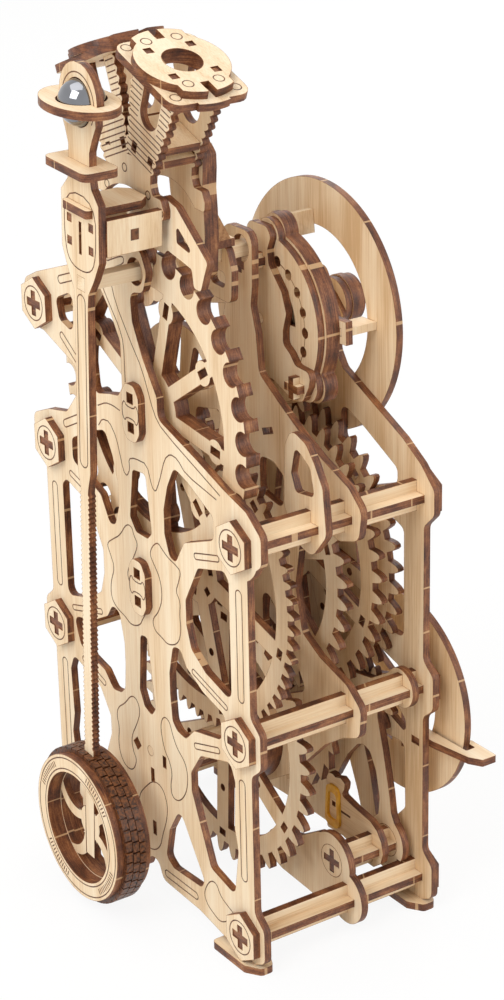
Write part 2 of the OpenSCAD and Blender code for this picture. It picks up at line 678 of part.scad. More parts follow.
// Pendulum: everything here hangs straight and is then turned about the pivot
module swung() {
    translate([pivot_x, 0, pivot_z]) rotate([0, -swing, 0]) translate([0, 0, -pivot_z]) children();
}
bob_z = pivot_z - bob_drop;
rod_end_z = 19;
shoulder_z = 186;
saw_top = 176;
saw_bottom = 68;
saw_pitch = 2;
head_half = [[-4.45, 250], [-5, 256], [-9, 262.5], [-12.6, 270], [-12.6, 291], [-8, 296], [-7, 300],
    [-7, 309], [-9, 314], [-11.5, 319]];
head_eye = [0, 325.3];
dome_r = 12.6;
dome_z = 327;
function saw_edge() = [for (z = [saw_bottom:saw_pitch:saw_top]) each [
    [-rod_w[1] / 2 - 0.45, z], [-rod_w[1] / 2 + 0.45, z + saw_pitch / 2]]];
rod_half = concat([[-rod_w[1] / 2, rod_end_z]], saw_edge(), [[-rod_w[1] / 2, saw_top + 4],
    [-rod_w[0] / 2, shoulder_z]], head_half, 
    [for (a = [205:-13:101]) [0, dome_z] + polar(dome_r, a)]);
module pendulum_rod() {
    color(wood) swung() board(rod_depth) difference() {
        polygon(symmetric(rod_half));
        for (k = [-peg_x, peg_x], z = peg_z) slot_hole([k, z], ply, ply);
        at(head_eye) circle(r = 8.7);
        at([0, shelf_z[0] + ply / 2]) square([17.2, ply + 0.1], center = true);
        at([0, 276]) square([1.6, 12], center = true);
        at([0, pivot_z]) square([5.1, 5.1], center = true);
    }
}
module bob_side_rings() {
    color(wood) swung() for (d = [rod_depth - 2 * ply, rod_depth + 2 * ply]) {
        board(d) at([0, bob_z]) difference() {
            circle(r = bob_r[0], $fn = 120);
            circle(r = bob_r[1], $fn = 96);
        }
    }
}
// Each spoke is a crescent from the hub to the rim
module wheel_spoke() {
    difference() {
        translate([13.5, 5]) circle(r = 11.5, $fn = 48);
        translate([13.5, 9]) circle(r = 11, $fn = 48);
    }
}
module bob_tread() {
    color("sienna") swung() for (k = [-1, 0, 1]) board(rod_depth + k * ply) at([0, bob_z]) difference() {
        circle(r = bob_r[0] + 1.2, $fn = 120);
        if (k == 0) {
            difference() {
                circle(r = bob_r[1] - 0.4, $fn = 96);
                for (a = [18, 162, 234, 306]) rotate(a) wheel_spoke();
                circle(r = 7);
            }
            translate([-rod_w[1] / 2 - 0.55, rod_end_z - bob_z - fix_gap]) square([rod_w[1] + 1.1, 70]);
        }
        else circle(r = bob_r[1], $fn = 96);
    }
}
// The polished lens bulges out of the eye of the head on both faces
lens_r = 8.6;
lens_bulge = 3.75;
lens_curve = (lens_r * lens_r + lens_bulge * lens_bulge) / (2 * lens_bulge);
module lamp_ball() {
    color("silver") swung() translate([0, rear_face_y - rod_depth - ply / 2, head_eye[1]]) intersection() {
        translate([0, lens_curve - lens_bulge, 0]) sphere(r = lens_curve);
        translate([0, lens_bulge - lens_curve, 0]) sphere(r = lens_curve);
    }
}
lamp_ring_outline = [for (i = [0:35]) [18.6 * cos(i * 10), 12.6 * sin(i * 10)]];
module lamp_ring() {
    color(wood) swung() difference() {
        level_board(323.6) translate([0, rod_depth + 0.7]) difference() {
            polygon(lamp_ring_outline);
            translate([0, 0.8]) circle(r = 9);
        }
        board(rod_depth - fix_gap, ply + 2 * fix_gap) translate([-12.7, 320]) square([25.4, 20]);
    }
}
peg_x = 7.3;
peg_z = [273.2, 281.7];
shelf_z = [285.6, 301];
low_shelf_outline = [[-8.5, -25], [8.5, -25], [8.5, -2], [5, 2], [-5, 2], [-8.5, -2]];
module head_boards() {
    color(wood) swung() {
        difference() {
            level_board(shelf_z[1]) polygon(rounded([[-14, -29], [14, -29], [14, -14], [-14, -14]], 3));
            board(rod_depth - fix_gap, ply + 2 * fix_gap) translate([-7.05, 296]) square([14.1, 20]);
        }
        level_board(shelf_z[0]) polygon(rounded(low_shelf_outline, 1.5));
        for (k = [-1, 1]) {
            translate([k * 11.7 - ply / 2, rear_face_y - engine_depth, 272]) cube([ply, 22.8, 13.5]);
            for (z = peg_z) translate([k * peg_x - 1.4, rear_face_y - engine_depth, z - 1.4]) {
                cube([2.8, 25.6, 2.8]);
            }
        }
    }
}
// The pallets end clear of the wheel over the whole swing
truss_outline = [[-8.6, 289], [-17.6, 287], [-37.6, 272.4], [-35.6, 267], [-33.4, 260.4], [-29, 260.4],
    [-27.6, 267], [-12, 269.4], [-10, 267.4], [10, 267.4], [12.4, 269.5], [32.4, 267], [33.4, 261],
    [38, 261], [40.2, 267], [41, 272.4], [30, 276], [12, 280], [4.5, 281.2], [3.5, 285], [-6.5, 285.2]];
module anchor_truss() {
    color(wood) swung() board(truss_depth) difference() {
        polygon(rounded(truss_outline, 1.6));
        window([[-17.6, 280.5], [-18, 274], [-29.6, 272]], 1);
        window([[18, 276.5], [18, 272.6], [31, 271.6]], 1);
    }
}

// V engine: two tapered cylinders and their case are cut from one sheet, in a near and a far wall
wall_h = 35;
wall_half = [9.5, 12, 14];
tooth_pitch = 3.5;
tooth_d = 1.1;
wall_gap = 17.4;
mid_wall = (wall_gap + ply) / 2;
left_foot = [16.4, 296.9];
left_lean = 24.75;
right_foot = [2, 298.3];
right_lean = -17.75;
function side_half(h) = h < 14 ? wall_half[0] + (wall_half[1] - wall_half[0]) * h / 14
    : min(wall_half[2], wall_half[1] + (wall_half[2] - wall_half[1]) * (h - 14) / 10);
function saw_side() = [for (h = [0:tooth_pitch:wall_h - tooth_pitch]) each [
    [-side_half(h) + tooth_d, h], [-side_half(h) - 0.1, h + 0.4 * tooth_pitch],
    [-side_half(h) - 0.1, h + 0.62 * tooth_pitch], [-side_half(h) + tooth_d, h + 0.9 * tooth_pitch]]];
module cylinder_wall() {
    difference() {
        union() {
            polygon(symmetric(concat(saw_side(), [[-wall_half[2], wall_h]])));
            for (k = [-8.5, 8.5]) translate([k - ply / 2, wall_h - 1]) square([ply, 6.5]);
        }
        at([-0.6, 20.7]) circle(r = 5.7);
        translate([-6.3, 20.7]) square([11.4, 20]);
        for (k = [-5.4, 5.4]) slot_hole([k - 0.9, 4.2], 3, 4);
    }
}
case_outline = [[-6, 300], [-5.5, 292.5], [-6.8, 288.8], [-12.2, 288.8], [-14, 285], [-14, 281.2],
    [32.4, 281.2], [32.4, 285], [30.6, 288.8], [25.2, 288.8], [23.9, 292.5], [24.4, 300]];
module engine_wall() {
    difference() {
        union() {
            polygon(rounded(case_outline, 1.5));
            at(left_foot) rotate(-left_lean) cylinder_wall();
            at(right_foot) rotate(-right_lean) cylinder_wall();
        }
        at([9.2, 264]) circle(r = 24);
    }
}
leg_outline = [[-4.5, 303.3], [-7.8, 300.4], [-8.2, 295.2], [-8, 287.5], [-9, 280.2], [-9.8, 270.4],
    [-9.5, 256], [-6, 252], [6, 252], [9.5, 256], [9.8, 270.4], [13, 281], [15, 292], [12, 303.3]];
holder_outline = [[-9, 241.5], [-9, 254], [-5.5, 262.5], [5.5, 262.5], [9, 254], [9, 241.5]];
module engine_walls() {
    color(wood) swung() {
        board(engine_depth) engine_wall();
        board(engine_depth + wall_gap) engine_wall();
        board(engine_depth + wall_gap + ply, 2 * ply) difference() {
            polygon(rounded(leg_outline, 2));
            at([0, pivot_z]) square([5.1, 5.1], center = true);
        }
        board(36) difference() {
            polygon(rounded(holder_outline, 3));
            at([0, pivot_z]) square([5.1, 5.1], center = true);
            window([[-4.7, 246.5], [4.7, 246.5], [4.7, 252.6], [-4.7, 252.6]], 2);
        }
        level_board(262.5) translate([-5, engine_depth + wall_gap + 3 * ply]) square([10, 40 - 29.7]);
    }
}
// The lower head plate reaches out on the side away from the other cylinder, the upper one is round
head_corners = [[-19.8, -16.6], [21.5, -16.6], [21.5, 16.6], [-19.8, 16.6]];
module lower_head(out) {
    difference() {
        union() {
            polygon(rounded([for (p = head_corners) [out * p[0], p[1]]], 5));
            intersection() {
                circle(r = 23.5, $fn = 96);
                translate([out > 0 ? 0 : -30, -6.5]) square([30, 13]);
            }
        }
        head_holes();
    }
}
module upper_head() {
    difference() {
        union() {
            circle(r = 17.4, $fn = 96);
            intersection() {
                circle(r = 20.3, $fn = 96);
                square([50, 21], center = true);
            }
        }
        for (k = [-1, 1]) translate([k * 20, 0]) square([11.2, 3.4], center = true);
        head_holes();
    }
}
module head_holes() {
    circle(r = 7.4);
    for (x = [-8.5, 8.5], y = [-8.7, 8.7]) slot_hole([x, y], ply + 0.1, ply + 0.1);
}
// A cylinder's floors lie between the walls and its head plates lie on them
module engine_cylinder(lean, foot, out) {
    translate([foot[0], rear_face_y - engine_depth, foot[1]]) rotate([0, lean, 0]) rotate([90, 0, 0]) {
        for (f = [[9, 10.2, 10.2], [2.6, 6.5, 9]]) {
            translate([out > 0 ? -f[1] : -f[2], f[0], ply]) cube([f[1] + f[2], ply, wall_gap - ply]);
        }
        translate([0, wall_h + ply, mid_wall]) rotate([90, 0, 0]) linear_extrude(ply) lower_head(out);
        translate([0, wall_h + 2 * ply, mid_wall]) rotate([90, 0, 0]) linear_extrude(ply) upper_head();
    }
}
module left_cylinder() {
    color(wood) swung() engine_cylinder(left_lean, left_foot, 1);
}
module right_cylinder() {
    color(wood) swung() engine_cylinder(right_lean, right_foot, -1);
}
// The pocket wheel turns through the pivot's line, so the arbor has a rear and a front stub
stub_spans = [[rod_depth, truss_depth - 0.1], [engine_depth + wall_gap, middle_depth + ply + 2]];
module pivot_arbor() {
    color("tan") swung() for (span = stub_spans) {
        translate([-2.5, rear_face_y - span[1], pivot_z - 2.5]) cube([5, span[1] - span[0], 5]);
    }
}

rear_plate();
small_rear_plate();
middle_plate();
lower_middle_plate();
front_plate();
inner_front_plate();
right_tie_bars();
left_tie_bars();
lower_cross_bar();
rear_washers();
front_washers();
feet();
bearing_covers();
drum_bracket();
drum_outer_ring();
drum_rotor();
drum_stack();
drum_posts();
upper_dial_ring();
dial_brackets();
dial_arbor();
dial_wheel();
dial_hand();
hand_knob();
idler_pin();
idler_pinions();
escape_arbor();
pocket_wheel();
pocket_wheel_backing();
escape_rear_disc();
escape_pinion();
second_arbor();
second_wheel();
second_pinion();
seconds_drive_wheel();
minute_wheel();
transfer_wheel();
great_arbor();
great_wheel();
minute_pinion();
ratchet_wheel();
spring_barrel();
mainspring();
pawl();
rubber_band();
seconds_arbor();
seconds_pinion();
seconds_dial();
pointer_arm();
pendulum_rod();
bob_side_rings();
bob_tread();
lamp_ball();
lamp_ring();
head_boards();
anchor_truss();
engine_walls();
left_cylinder();
right_cylinder();
pivot_arbor();
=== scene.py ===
import json
import math
import bmesh
import bpy
from mathutils import Matrix, Vector

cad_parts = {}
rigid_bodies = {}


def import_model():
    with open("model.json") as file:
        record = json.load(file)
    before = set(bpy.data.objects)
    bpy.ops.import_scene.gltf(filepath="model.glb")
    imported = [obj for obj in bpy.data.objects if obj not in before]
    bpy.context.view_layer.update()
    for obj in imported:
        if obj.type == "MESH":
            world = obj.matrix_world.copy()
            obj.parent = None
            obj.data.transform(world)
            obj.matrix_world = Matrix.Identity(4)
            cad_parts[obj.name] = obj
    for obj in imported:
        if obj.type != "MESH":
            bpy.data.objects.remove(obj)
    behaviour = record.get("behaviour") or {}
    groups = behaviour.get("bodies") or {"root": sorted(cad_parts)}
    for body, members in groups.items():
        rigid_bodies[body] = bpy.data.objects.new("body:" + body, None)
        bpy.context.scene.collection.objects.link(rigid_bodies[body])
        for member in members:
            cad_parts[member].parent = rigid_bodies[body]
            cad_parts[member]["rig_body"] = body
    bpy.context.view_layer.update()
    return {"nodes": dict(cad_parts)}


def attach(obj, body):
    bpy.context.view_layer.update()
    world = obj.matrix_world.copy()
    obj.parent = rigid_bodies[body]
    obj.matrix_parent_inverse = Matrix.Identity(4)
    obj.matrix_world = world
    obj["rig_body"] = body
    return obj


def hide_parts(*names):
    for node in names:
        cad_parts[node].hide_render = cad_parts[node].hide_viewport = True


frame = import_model()
nodes = frame["nodes"]
mm = 0.001
sheet = 3.0 * mm      # every board is cut from 3 mm birch plywood
facing = 0.985        # a face looks along an axis when the cosine between them is above this
roughly = 0.9         # the same on the thin arms of a bar


def say(text):
    print("scene:", text)


# An sRGB hex colour in the linear values that a material takes
def linear(code):
    parts = [int(code[i:i + 2], 16) / 255 for i in (1, 3, 5)]
    return [c / 12.92 if c <= 0.04045 else ((c + 0.055) / 1.055) ** 2.4 for c in parts] + [1.0]


def addNode(tree, kind, settings=None, links=None, **attributes):
    node = tree.nodes.new(kind)
    for key, value in attributes.items():
        setattr(node, key, value)
    for key, value in (settings or {}).items():
        node.inputs[key].default_value = value
    for key, source in (links or {}).items():
        tree.links.new(source, node.inputs[key])
    return node


def newMaterial(name):
    material = bpy.data.materials.new(name)
    material.use_nodes = True
    tree = material.node_tree
    tree.nodes.clear()
    shader = addNode(tree, "ShaderNodeBsdfPrincipled")
    out = addNode(tree, "ShaderNodeOutputMaterial")
    tree.links.new(shader.outputs["BSDF"], out.inputs["Surface"])
    return material, tree, shader


def colourRamp(tree, source, stops):
    ramp = addNode(tree, "ShaderNodeValToRGB", links={"Fac": source})
    elements = ramp.color_ramp.elements
    while len(elements) < len(stops):
        elements.new(0.5)
    for element, (place, code) in zip(elements, stops):
        element.position = place
        element.color = linear(code)
    return ramp.outputs["Color"]


# Noise in streaks, with one size along the given axis and another across it
def stretchedNoise(tree, axis, along, across, move, detail, drift=(1.0, 1.0, 1.0)):
    place = addNode(tree, "ShaderNodeTexCoord").outputs["Object"]
    settings = {"Scale": [1 / along if letter == axis else 1 / across for letter in "XYZ"],
                "Location": [move * share for share in drift]}
    mapping = addNode(tree, "ShaderNodeMapping", settings, {"Vector": place})
    noise = addNode(tree, "ShaderNodeTexNoise", {"Scale": 1.0, "Detail": detail, "Roughness": 0.6},
                    {"Vector": mapping.outputs["Vector"]})
    return noise.outputs["Fac"]


# Raw birch veneer, sanded and uncoated: pale cream, with fine straight fibres and a few wide soft bands. The
# fibres and pores are drawn wider than real ones, so that they show
birch = {
    "stops": [(0.34, "#D0AC80"), (0.48, "#E6CAA4"), (0.64, "#F0DCBD")], "roughness": 0.6,
    "fibreWidth": 0.55 * mm, "fibreLength": 26 * mm, "fibreShare": 0.45, "bump": 0.1, "bumpDepth": 0.06 * mm,
    "bandWidth": 9 * mm, "bandLength": 90 * mm, "bandShare": 0.55,
    "pore": "#B5885A", "poreWidth": 0.3 * mm, "poreLength": 5 * mm, "poreFrom": 0.70, "poreTo": 0.80,
    "poreStrength": 0.35, "drift": (1.0, 1.7, 0.6), "bandShift": 2.3, "poreShift": 4.1,
}


def makeBirch(name, grain, shift, warmth):
    material, tree, shader = newMaterial(name)
    drift = birch["drift"]
    fibres = stretchedNoise(tree, grain, birch["fibreLength"], birch["fibreWidth"], shift, 3.0, drift)
    bandMove, poreMove = shift * birch["bandShift"], shift * birch["poreShift"]
    bands = stretchedNoise(tree, grain, birch["bandLength"], birch["bandWidth"], bandMove, 2.0, drift)
    pores = stretchedNoise(tree, grain, birch["poreLength"], birch["poreWidth"], poreMove, 1.0, drift)
    fibrePart = addNode(tree, "ShaderNodeMath", {1: birch["fibreShare"], 2: warmth}, {0: fibres},
                        operation="MULTIPLY_ADD")
    total = addNode(tree, "ShaderNodeMath", {1: birch["bandShare"]}, {0: bands, 2: fibrePart.outputs[0]},
                    operation="MULTIPLY_ADD")
    veneer = colourRamp(tree, total.outputs[0], birch["stops"])
    limits = {"From Min": birch["poreFrom"], "From Max": birch["poreTo"], "To Min": 0.0,
              "To Max": birch["poreStrength"]}
    poreMask = addNode(tree, "ShaderNodeMapRange", limits, {"Value": pores})
    tinted = addNode(tree, "ShaderNodeMix", {"B": linear(birch["pore"])},
                     {"Factor": poreMask.outputs["Result"], "A": veneer}, data_type="RGBA")
    tree.links.new(tinted.outputs["Result"], shader.inputs["Base Color"])
    shader.inputs["Roughness"].default_value = birch["roughness"]
    bump = addNode(tree, "ShaderNodeBump", {"Strength": birch["bump"], "Distance": birch["bumpDepth"]},
                   {"Height": fibres})
    tree.links.new(bump.outputs["Normal"], shader.inputs["Normal"])
    return material


# Laser-cut edge: red-brown char in fine layers, darker in clouds, with pale nibs right through the sheet
# where it held the part
burn = {
    "stops": [(0.36, "#321709"), (0.47, "#61341B"), (0.57, "#8A5531"), (0.68, "#AD7B4D")], "roughness": 0.5,
    "layer": 0.35 * mm, "layerLength": 14 * mm, "layerShare": 0.35,
    "cloud": 9 * mm, "cloudDepth": 4 * mm, "cloudShare": 0.5, "grit": 0.6 * mm, "gritShare": 0.15,
    "nib": "#DDB586", "nibSpacing": 34 * mm, "nibHeight": 4000 * mm, "nibWidth": 0.009, "nibStrength": 0.65,
    "bump": 0.3, "bumpDepth": 0.12 * mm,
}


def makeBurn(name, normalAxis):
    material, tree, shader = newMaterial(name)
    layers = stretchedNoise(tree, normalAxis, burn["layer"], burn["layerLength"], move=0.3, detail=2.0)
    clouds = stretchedNoise(tree, normalAxis, burn["cloudDepth"], burn["cloud"], move=7.1, detail=3.0)
    grit = stretchedNoise(tree, normalAxis, burn["grit"], burn["grit"], move=2.2, detail=1.0)
    soft = addNode(tree, "ShaderNodeMath", {1: burn["cloudShare"]}, {0: clouds}, operation="MULTIPLY")
    both = addNode(tree, "ShaderNodeMath", {1: burn["layerShare"]}, {0: layers, 2: soft.outputs[0]},
                   operation="MULTIPLY_ADD")
    total = addNode(tree, "ShaderNodeMath", {1: burn["gritShare"]}, {0: grit, 2: both.outputs[0]},
                    operation="MULTIPLY_ADD")
    char = colourRamp(tree, total.outputs[0], burn["stops"])
    along = stretchedNoise(tree, normalAxis, burn["nibHeight"], burn["nibSpacing"], move=11.3, detail=0.0)
    centred = addNode(tree, "ShaderNodeMath", {1: 0.5}, {0: along}, operation="SUBTRACT")
    distance = addNode(tree, "ShaderNodeMath", {}, {0: centred.outputs[0]}, operation="ABSOLUTE")
    nibMask = addNode(tree, "ShaderNodeMath", {1: burn["nibWidth"] / 2}, {0: distance.outputs[0]},
                      operation="LESS_THAN")
    scaled = addNode(tree, "ShaderNodeMath", {1: burn["nibStrength"]}, {0: nibMask.outputs[0]},
                     operation="MULTIPLY")
    mixed = addNode(tree, "ShaderNodeMix", {"B": linear(burn["nib"])},
                    {"Factor": scaled.outputs[0], "A": char}, data_type="RGBA")
    tree.links.new(mixed.outputs["Result"], shader.inputs["Base Color"])
    shader.inputs["Roughness"].default_value = burn["roughness"]
    bump = addNode(tree, "ShaderNodeBump", {"Strength": burn["bump"], "Distance": burn["bumpDepth"]},
                   {"Height": total.outputs[0]})
    tree.links.new(bump.outputs["Normal"], shader.inputs["Normal"])
    return material


# Scorched veneer: the toasted rim that the beam leaves beside each cut, and the thin engraved lines
scorch = {"grain": 2 * mm, "roughness": 0.62}


def makeScorch(name, dark, light):
    material, tree, shader = newMaterial(name)
    place = addNode(tree, "ShaderNodeTexCoord").outputs["Object"]
    grains = addNode(tree, "ShaderNodeTexNoise", {"Scale": 1 / scorch["grain"], "Detail": 2.0},
                     {"Vector": place})
    colour = colourRamp(tree, grains.outputs["Fac"], [(0.35, dark), (0.62, light)])
    tree.links.new(colour, shader.inputs["Base Color"])
    shader.inputs["Roughness"].default_value = scorch["roughness"]
    return material


# A plain stuff with mottled colour and gloss
def makePlain(name, low, high, roughness, metallic, mottleSize):
    material, tree, shader = newMaterial(name)
    place = addNode(tree, "ShaderNodeTexCoord").outputs["Object"]
    mottle = addNode(tree, "ShaderNodeTexNoise", {"Scale": 1 / mottleSize, "Detail": 3.0}, {"Vector": place})
    colour = colourRamp(tree, mottle.outputs["Fac"], [(0.35, low), (0.65, high)])
    tree.links.new(colour, shader.inputs["Base Color"])
    rough = addNode(tree, "ShaderNodeMapRange", {"To Min": roughness * 0.8, "To Max": roughness * 1.3},
                    {"Value": mottle.outputs["Fac"]})
    tree.links.new(rough.outputs["Result"], shader.inputs["Roughness"])
    shader.inputs["Metallic"].default_value = metallic
    return material


tones = (0.04, 0.0, -0.04)      # how much paler or darker each of the three kinds of sheet is
birchFaces = {(grain, k): makeBirch(f"birchVeneer{grain}{k}", grain, 3.1 * k + 0.7, tone)
              for grain in "XYZ" for k, tone in enumerate(tones)}
burnEdges = {axis: makeBurn(f"laserEdge{axis}", axis) for axis in "XYZ"}
scorchRim = makeScorch("laserScorch", "#8A5A34", "#B98A5C")     # warmed by the beam: a soft tan line
engraved = makeScorch("engravedLine", "#4A2A14", "#76492A")     # burnt by the beam: a dark brown line

# Stacked cut edges of the tyre: sooty dark brown with a low shine
treadChar = makePlain("treadChar", "#2C150B", "#74431F", 0.42, 0.0, 1.11 * mm)
# Polished steel: a near mirror
steel = makePlain("polishedSteelBall", "#7E7F83", "#96979B", 0.05, 1.0, 16.7 * mm)
# Moulded rubber band: flat yellow
rubber = makePlain("yellowRubber", "#D99A1E", "#F0BE45", 0.5, 0.0, 4.17 * mm)
# Rolled spring steel: cool grey and half bright
strip = makePlain("springSteel", "#7C818A", "#A3A8B0", 0.34, 1.0, 11.1 * mm)
say("materials made")


# Places in the clock: millimetres from the middle, depth from the rear plate's outer face, height
rearFace = 41.0
axles = {"second": 134.2, "escape": 204.7, "dial": 229.2}
pivot = {"x": -2.2, "z": 259.0, "swing": math.radians(3.27)}
lean = {"left": 24.75, "right": -17.75}      # degrees from the head's own upright, for the engine's cylinders


def standing(x, depth, z):
    return Vector((x, rearFace - depth, z)) * mm


def hanging(x, depth, z):
    up = z - pivot["z"]
    c, s = math.cos(pivot["swing"]), math.sin(pivot["swing"])
    return Vector((pivot["x"] + x * c - up * s, rearFace - depth, pivot["z"] + x * s + up * c)) * mm


alongY = Vector((0, 1, 0))
alongZ = Vector((0, 0, 1))
swungX = Vector((math.cos(pivot["swing"]), 0, math.sin(pivot["swing"])))
swungZ = Vector((-math.sin(pivot["swing"]), 0, math.cos(pivot["swing"])))


def leaning(degrees):
    angle = math.radians(degrees) - pivot["swing"]
    return Vector((math.sin(angle), 0, math.cos(angle)))


# Boards: each CAD board keeps its shape, with veneer and a toasted rim on its broad faces and charred edges
def cleanCopy(name):
    mesh = bmesh.new()
    mesh.from_mesh(nodes[name].data)
    bmesh.ops.remove_doubles(mesh, verts=mesh.verts, dist=0.002 * mm)
    return mesh


def storePiece(mesh, name, materials, body):
    data = bpy.data.meshes.new(name)
    mesh.to_mesh(data)
    mesh.free()
    for material in materials:
        data.materials.append(material)
    piece = bpy.data.objects.new(name, data)
    bpy.context.scene.collection.objects.link(piece)
    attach(piece, body)
    return piece


def bodyOf(name):
    return nodes[name]["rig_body"]


def islandsOf(mesh):
    left = set(mesh.faces)
    islands = []
    while left:
        stack = [left.pop()]
        island = []
        while stack:
            face = stack.pop()
            island.append(face)
            for edge in face.edges:
                for near in edge.link_faces:
                    if near in left:
                        left.remove(near)
                        stack.append(near)
        islands.append(island)
    return islands


def spread(faces, axis):
    reach = [v.co.dot(axis) for f in faces for v in f.verts]
    return max(reach) - min(reach)


rimWidth = 0.14 * mm
endGrain = 0.7        # a broad face this square to the grain takes veneer that runs the other way


def dressBoard(mesh, name, broad, grain, tone, burnAxis, rim=rimWidth):
    run = Vector([float(axis == grain) for axis in "XYZ"])
    otherGrain = "X" if grain == "Z" else "Z"
    for face in mesh.faces:
        face.material_index = 1
    for face in broad:
        face.material_index = 3 if abs(face.normal.dot(run)) > endGrain else 0
    ring = bmesh.ops.inset_region(mesh, faces=broad, thickness=rim, depth=0, use_even_offset=True,
                                  use_boundary=True)
    for face in ring["faces"]:
        face.material_index = 2
    materials = [birchFaces[grain, tone], burnEdges[burnAxis], scorchRim, birchFaces[otherGrain, tone]]
    piece = storePiece(mesh, name + "Cut", materials, bodyOf(name))
    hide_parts(name)


def finishBoard(name, axes, grain, tone):
    mesh = cleanCopy(name)
    broad = []
    for island in islandsOf(mesh):
        axis = min(axes, key=lambda way: abs(spread(island, way) - sheet))
        broad += [f for f in island if abs(f.normal.dot(axis)) > facing]
    letter = "XYZ"[max(range(3), key=lambda i: abs(axes[0][i]))]
    dressBoard(mesh, name, broad, grain, tone, letter)


# The way that a board's broad faces look, where it isn't along Y
broadWays = {
    "feet": [alongZ], "pointer_arm": [alongZ], "lamp_ring": [swungZ], "head_boards": [swungZ, swungX],
    "left_cylinder": [leaning(lean["left"])], "right_cylinder": [leaning(lean["right"])],
}

# The axis of each board's grain, and the tone of its sheet
boards = {
    "rear_plate": ("Z", 0), "small_rear_plate": ("Z", 0), "middle_plate": ("Z", 1),
    "lower_middle_plate": ("Z", 0), "inner_front_plate": ("Z", 1), "front_plate": ("Z", 2),
    "rear_washers": ("Z", 0), "front_washers": ("Z", 1), "feet": ("X", 1), "bearing_covers": ("Z", 0),
    "drum_bracket": ("Z", 0), "drum_outer_ring": ("Z", 1), "drum_rotor": ("Z", 1), "drum_stack": ("Z", 2),
    "upper_dial_ring": ("Z", 2), "dial_wheel": ("Z", 1), "dial_hand": ("X", 2), "hand_knob": ("Z", 2),
    "idler_pinions": ("Z", 1), "pocket_wheel": ("Z", 0), "pocket_wheel_backing": ("Z", 1),
    "escape_rear_disc": ("Z", 1), "escape_pinion": ("Z", 1), "second_wheel": ("Z", 0),
    "second_pinion": ("Z", 1), "seconds_drive_wheel": ("Z", 1), "minute_wheel": ("Z", 0),
    "transfer_wheel": ("Z", 1), "great_wheel": ("Z", 0), "minute_pinion": ("Z", 1), "ratchet_wheel": ("Z", 1),
    "spring_barrel": ("Z", 1), "pawl": ("X", 1), "seconds_pinion": ("Z", 1), "seconds_dial": ("Z", 2),
    "pointer_arm": ("X", 0), "pendulum_rod": ("Z", 0), "bob_side_rings": ("Z", 1), "lamp_ring": ("X", 0),
    "head_boards": ("X", 0), "anchor_truss": ("Z", 0), "left_cylinder": ("X", 0), "right_cylinder": ("X", 0),
}
for name, (grain, tone) in boards.items():
    finishBoard(name, broadWays.get(name, [alongY]), grain, tone)


# The engine walls stand across the clock, but the board over the arbor lies level
arborBoard = {"faces": (262.5, 265.5), "rear": 29.7, "slack": 0.02}


def finishEngine():
    mesh = cleanCopy("engine_walls")
    levels = [hanging(0, 0, z).dot(swungZ) for z in arborBoard["faces"]]
    rear = (rearFace - arborBoard["rear"]) * mm
    broad = []
    for face in mesh.faces:
        middle = face.calc_center_median()
        level = min(abs(middle.dot(swungZ) - height) for height in levels) < arborBoard["slack"] * mm
        onBoard = abs(face.normal.dot(swungZ)) > facing and level and middle.y < rear
        if onBoard or abs(face.normal.y) > facing:
            broad.append(face)
    dressBoard(mesh, "engine_walls", broad, "Z", 0, "Y")


# The dial holder is an open ring with a block at each lobe, whose broad sides face along the ring
dialHolder = {"lobes": (84, 2, 178), "ringFront": 70.5, "slack": 0.05, "rim": 0.12 * mm}


def finishHolder():
    mesh = cleanCopy("dial_brackets")
    angles = [math.radians(lobe) for lobe in dialHolder["lobes"]]
    tangents = [Vector((-math.sin(angle), 0, math.cos(angle))) for angle in angles]
    limit = (rearFace - dialHolder["ringFront"] - dialHolder["slack"]) * mm
    broad = []
    for face in mesh.faces:
        inRing = face.calc_center_median().y > limit
        alongRing = max(abs(face.normal.dot(tangent)) for tangent in tangents)
        if (abs(face.normal.y) if inRing else alongRing) > facing:
            broad.append(face)
    dressBoard(mesh, "dial_brackets", broad, "Z", 0, "Y", dialHolder["rim"])


# Tie bars: two strips locked into a plus section, so each arm shows two veneer sides and a charred end
columnX = 64
barHeights = (13, 95, 173)
topBar = (68.3, axles["dial"])
barCentres = {
    "right_tie_bars": [(-columnX, z) for z in barHeights],
    "left_tie_bars": [(columnX, z) for z in barHeights] + [topBar],
    "lower_cross_bar": [(-55.5, 25)],
    "drum_posts": [(-1, 252.5), (-23.8, 208.8), (23.8, 208.8)],
}
armReach = 2          # a strip's broad side lies no further than this from the bar's middle
bushingFaces = [46.0, 49.0, 72.6, 75.6]
bushingSlack = 0.05


def finishBars(name):
    mesh = cleanCopy(name)
    broad = []
    for face in mesh.faces:
        middle = face.calc_center_median() / mm
        x, z = min(barCentres[name], key=lambda c: (c[0] - middle.x) ** 2 + (c[1] - middle.z) ** 2)
        depth = rearFace - middle.y
        level = abs(face.normal.z) > roughly and abs(middle.z - z) < armReach
        upright = abs(face.normal.x) > roughly and abs(middle.x - x) < armReach
        onBushing = min(abs(depth - bushing) for bushing in bushingFaces) < bushingSlack
        disc = name == "lower_cross_bar" and abs(face.normal.y) > roughly and onBushing
        if level or upright or disc:
            broad.append(face)
    dressBoard(mesh, name, broad, "Y", 0, "Z")


finishEngine()
finishHolder()
for name in barCentres:
    finishBars(name)
say("boards and bars cut")

# Pieces that keep their CAD mesh
arbors = ("dial_arbor", "idler_pin", "escape_arbor", "second_arbor", "great_arbor", "seconds_arbor",
          "pivot_arbor")
carried = {"rubber_band": rubber, "mainspring": strip, **{name: birchFaces["Y", 1] for name in arbors}}
for name, material in carried.items():
    nodes[name].data.materials.clear()
    nodes[name].data.materials.append(material)


